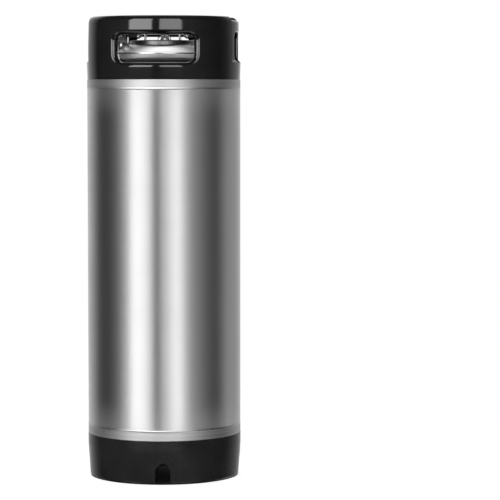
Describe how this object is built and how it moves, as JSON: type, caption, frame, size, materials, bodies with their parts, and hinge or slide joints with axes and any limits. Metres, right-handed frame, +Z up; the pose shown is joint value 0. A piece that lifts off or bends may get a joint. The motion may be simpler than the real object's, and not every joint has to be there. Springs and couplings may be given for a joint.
{
  "type": "beer keg",
  "caption": "Tall slim stainless soda keg with a black rubber collar and base boot, oval hatch with a wire-bail lid and relief valve, and gas and liquid valve posts.",
  "frame": {"origin": "centre of the base boot's footprint, on the floor", "axes": "+Z up along the tank's axis; -Y towards the front hand opening, +X towards the liquid post, -X towards the gas post; the lid is longest along Y"},
  "size_m": [0.2169, 0.2166, 0.647],
  "materials": {
    "brushed_shell": "satin, fine brushing round the tank",
    "weld_steel": "planished weld, brighter than the shell",
    "pressed_steel": "bright, pressed and polished",
    "turned_steel": "turned, bright",
    "wire_steel": "drawn wire, bright",
    "collar_rubber": "glossy moulded black rubber",
    "boot_rubber": "satin moulded black rubber",
    "foot_rubber": "matt black rubber sleeve",
    "seal_rubber": "matt black seal rubber"
  },
  "bodies": {
    "keg": {"tank_barrel": "brushed_shell", "top_dome": "pressed_steel", "bottom_dome": "pressed_steel", "top_weld_bead": "weld_steel", "bottom_weld_bead": "weld_steel", "hatch_rim": "pressed_steel", "collar": "collar_rubber", "base_boot": "boot_rubber", "gas_post_boss": "turned_steel", "liquid_post_boss": "turned_steel", "gas_post": "turned_steel", "liquid_post": "turned_steel", "gas_post_oring": "seal_rubber", "liquid_post_oring": "seal_rubber", "gas_tube": "turned_steel", "liquid_dip_tube": "turned_steel", "gas_tube_oring": "seal_rubber", "liquid_tube_oring": "seal_rubber", "gas_poppet_spring": "wire_steel", "liquid_poppet_spring": "wire_steel"},
    "lid": {"lid_plate": "pressed_steel", "lid_oring": "seal_rubber", "bail_bracket_left": "pressed_steel", "bail_bracket_right": "pressed_steel", "prv_boss": "turned_steel", "prv_body": "turned_steel", "prv_cap": "turned_steel", "prv_spring": "wire_steel"},
    "bail": {"bail": "wire_steel", "bail_foot_left": "foot_rubber", "bail_foot_right": "foot_rubber"},
    "prv_stem": {"prv_stem": "turned_steel", "prv_seal": "seal_rubber"},
    "prv_ring": {"prv_ring": "wire_steel"},
    "gas_poppet": {"gas_poppet": "turned_steel", "gas_poppet_seal": "seal_rubber"},
    "liquid_poppet": {"liquid_poppet": "turned_steel", "liquid_poppet_seal": "seal_rubber"}
  },
  "joints": [
    {"name": "lid_drop", "type": "slide", "parent": "keg", "child": "lid", "axis": [0, 0, -1], "range_m": [0, 0.004]},
    {"name": "bail_hinge", "type": "hinge", "parent": "lid", "child": "bail", "pos_m": [0, -0.01, 0.6278], "axis": [1, 0, 0], "range_deg": [0, 100]},
    {"name": "prv_lift", "type": "slide", "parent": "lid", "child": "prv_stem", "axis": [0, 0, 1], "range_m": [0, 0.0025], "stiffness_N_per_m": 1500, "springref_m": -0.008, "deforming": ["prv_spring"]},
    {"name": "prv_ring_swing", "type": "hinge", "parent": "prv_stem", "child": "prv_ring", "pos_m": [0, 0.014, 0.6216], "axis": [-1, 0, 0], "range_deg": [0, 252]},
    {"name": "gas_poppet_press", "type": "slide", "parent": "keg", "child": "gas_poppet", "axis": [0, 0, -1], "range_m": [0, 0.003], "stiffness_N_per_m": 900, "springref_m": -0.004, "deforming": ["gas_poppet_spring"]},
    {"name": "liquid_poppet_press", "type": "slide", "parent": "keg", "child": "liquid_poppet", "axis": [0, 0, -1], "range_m": [0, 0.003], "stiffness_N_per_m": 900, "springref_m": -0.004, "deforming": ["liquid_poppet_spring"]}
  ],
  "couplings": [
    {"joint": "bail_hinge", "follows": "lid_drop", "rad_per_m": 436.3}
  ]
}
